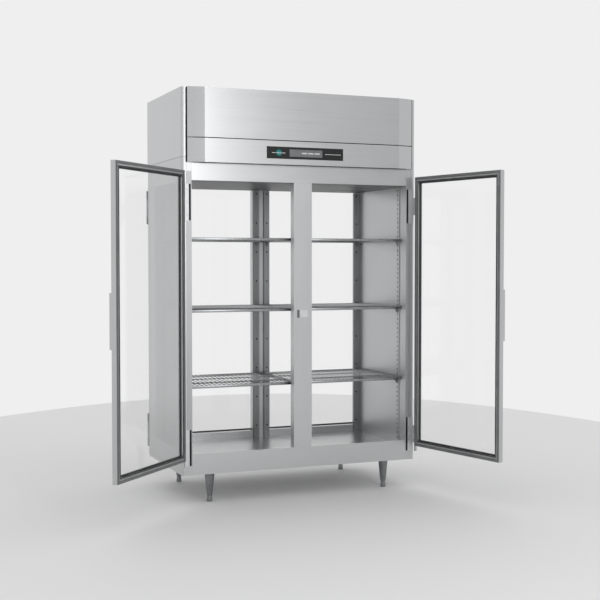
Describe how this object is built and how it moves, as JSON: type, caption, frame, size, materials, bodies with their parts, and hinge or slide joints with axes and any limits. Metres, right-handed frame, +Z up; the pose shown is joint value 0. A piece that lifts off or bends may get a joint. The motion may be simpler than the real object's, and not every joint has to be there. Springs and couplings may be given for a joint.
{
  "type": "glass door merchandiser",
  "caption": "Upright stainless pass-through refrigerator with glass doors front and rear, wire shelves, a top-mounted cooling unit behind a lift-up hood, and levelling feet.",
  "frame": {"origin": "on the floor, at the middle of the bounding box with both front doors standing open", "axes": "+X to the right as seen from the front, +Y from the front doors to the rear doors, +Z up"},
  "size_m": [1.9649, 1.3784, 2.12],
  "materials": {
    "cabinet_steel": "satin stainless sheet, grain running along the sheet",
    "face_frame_steel": "satin stainless sheet",
    "liner_metal": "satin, slightly duller than the outside",
    "door_frame_metal": "satin",
    "door_glass": "clear insulated glass unit",
    "door_gasket": "matte",
    "handle_metal": "satin",
    "lock_metal": "polished",
    "hinge_metal": "satin",
    "shelf_wire": "bright zinc",
    "leg_metal": "satin",
    "foot_metal": "satin",
    "display_plastic": "gloss black",
    "compressor_enamel": "semi-gloss black enamel",
    "coil_fins": "mill finish",
    "fan_plastic": "matte black",
    "control_box_enamel": "semi-gloss black enamel"
  },
  "bodies": {
    "cabinet": {"ceiling_panel": "liner_metal", "compressor": "compressor_enamel", "condenser_coil": "coil_fins", "control_box": "control_box_enamel", "control_panel": "cabinet_steel", "display_module": "display_plastic", "evaporator_coil": "coil_fins", "floor_pan": "liner_metal", "front_header": "face_frame_steel", "front_left_leg": "leg_metal", "front_left_lower_hinge": "hinge_metal", "front_left_upper_hinge": "hinge_metal", "front_mullion": "face_frame_steel", "front_right_leg": "leg_metal", "front_right_lower_hinge": "hinge_metal", "front_right_upper_hinge": "hinge_metal", "front_sill": "face_frame_steel", "left_lower_shelf": "shelf_wire", "left_middle_shelf": "shelf_wire", "left_upper_shelf": "shelf_wire", "left_wall": "cabinet_steel", "machine_housing": "cabinet_steel", "rear_header": "face_frame_steel", "rear_left_leg": "leg_metal", "rear_left_lower_hinge": "hinge_metal", "rear_left_upper_hinge": "hinge_metal", "rear_mullion": "face_frame_steel", "rear_right_leg": "leg_metal", "rear_right_lower_hinge": "hinge_metal", "rear_right_upper_hinge": "hinge_metal", "rear_sill": "face_frame_steel", "right_lower_shelf": "shelf_wire", "right_middle_shelf": "shelf_wire", "right_upper_shelf": "shelf_wire", "right_wall": "cabinet_steel"},
    "front_left_door": {"front_left_door_frame": "door_frame_metal", "front_left_door_glass": "door_glass", "front_left_door_gasket": "door_gasket", "front_left_door_handle": "handle_metal"},
    "front_right_door": {"front_right_door_frame": "door_frame_metal", "front_right_door_glass": "door_glass", "front_right_door_gasket": "door_gasket", "front_right_door_handle": "handle_metal"},
    "rear_left_door": {"rear_left_door_frame": "door_frame_metal", "rear_left_door_glass": "door_glass", "rear_left_door_gasket": "door_gasket", "rear_left_door_handle": "handle_metal"},
    "rear_right_door": {"rear_right_door_frame": "door_frame_metal", "rear_right_door_glass": "door_glass", "rear_right_door_gasket": "door_gasket", "rear_right_door_handle": "handle_metal"},
    "front_left_lock": {"front_left_door_lock": "lock_metal"},
    "front_right_lock": {"front_right_door_lock": "lock_metal"},
    "hood": {"hood_panel": "cabinet_steel"},
    "condenser_rotor": {"condenser_fan": "fan_plastic"},
    "evaporator_rotor": {"evaporator_fan": "fan_plastic"},
    "front_left_levelling_foot": {"front_left_foot": "foot_metal"},
    "front_right_levelling_foot": {"front_right_foot": "foot_metal"},
    "rear_left_levelling_foot": {"rear_left_foot": "foot_metal"},
    "rear_right_levelling_foot": {"rear_right_foot": "foot_metal"}
  },
  "joints": [
    {"name": "front_left_door_swing", "type": "hinge", "parent": "cabinet", "child": "front_left_door", "pos_m": [-0.505, -0.05, 1.136], "axis": [0, 0, 1], "range_deg": [0, 135]},
    {"name": "front_right_door_swing", "type": "hinge", "parent": "cabinet", "child": "front_right_door", "pos_m": [0.813, -0.05, 1.136], "axis": [0, 0, -1], "range_deg": [-32, 103]},
    {"name": "rear_left_door_swing", "type": "hinge", "parent": "cabinet", "child": "rear_left_door", "pos_m": [-0.505, 0.666, 1.136], "axis": [0, 0, 1], "range_deg": [0, 135]},
    {"name": "rear_right_door_swing", "type": "hinge", "parent": "cabinet", "child": "rear_right_door", "pos_m": [0.813, 0.666, 1.136], "axis": [0, 0, -1], "range_deg": [0, 135]},
    {"name": "front_left_lock_turn", "type": "hinge", "parent": "front_left_door", "child": "front_left_lock", "pos_m": [-0.96108, -0.48911, 0.963], "axis": [-0.7071, 0.7071, 0], "range_deg": [0, 90]},
    {"name": "front_right_lock_turn", "type": "hinge", "parent": "front_right_door", "child": "front_right_lock", "pos_m": [0.96709, -0.66408, 0.963], "axis": [0.9744, 0.225, 0], "range_deg": [0, 90]},
    {"name": "hood_lift", "type": "hinge", "parent": "cabinet", "child": "hood", "pos_m": [0.154, -0.022, 2.114], "axis": [-1, 0, 0], "range_deg": [0, 75]},
    {"name": "condenser_fan_spin", "type": "hinge", "parent": "cabinet", "child": "condenser_rotor", "pos_m": [0.124, 0.165, 1.9063], "axis": [0, 1, 0], "continuous": true},
    {"name": "evaporator_fan_spin", "type": "hinge", "parent": "cabinet", "child": "evaporator_rotor", "pos_m": [0.594, 0.41, 1.8113], "axis": [0, 0, 1], "continuous": true},
    {"name": "front_left_foot_screw", "type": "slide", "parent": "cabinet", "child": "front_left_levelling_foot", "axis": [0, 0, -1], "range_m": [0, 0.025]},
    {"name": "front_right_foot_screw", "type": "slide", "parent": "cabinet", "child": "front_right_levelling_foot", "axis": [0, 0, -1], "range_m": [0, 0.025]},
    {"name": "rear_left_foot_screw", "type": "slide", "parent": "cabinet", "child": "rear_left_levelling_foot", "axis": [0, 0, -1], "range_m": [0, 0.025]},
    {"name": "rear_right_foot_screw", "type": "slide", "parent": "cabinet", "child": "rear_right_levelling_foot", "axis": [0, 0, -1], "range_m": [0, 0.025]}
  ]
}
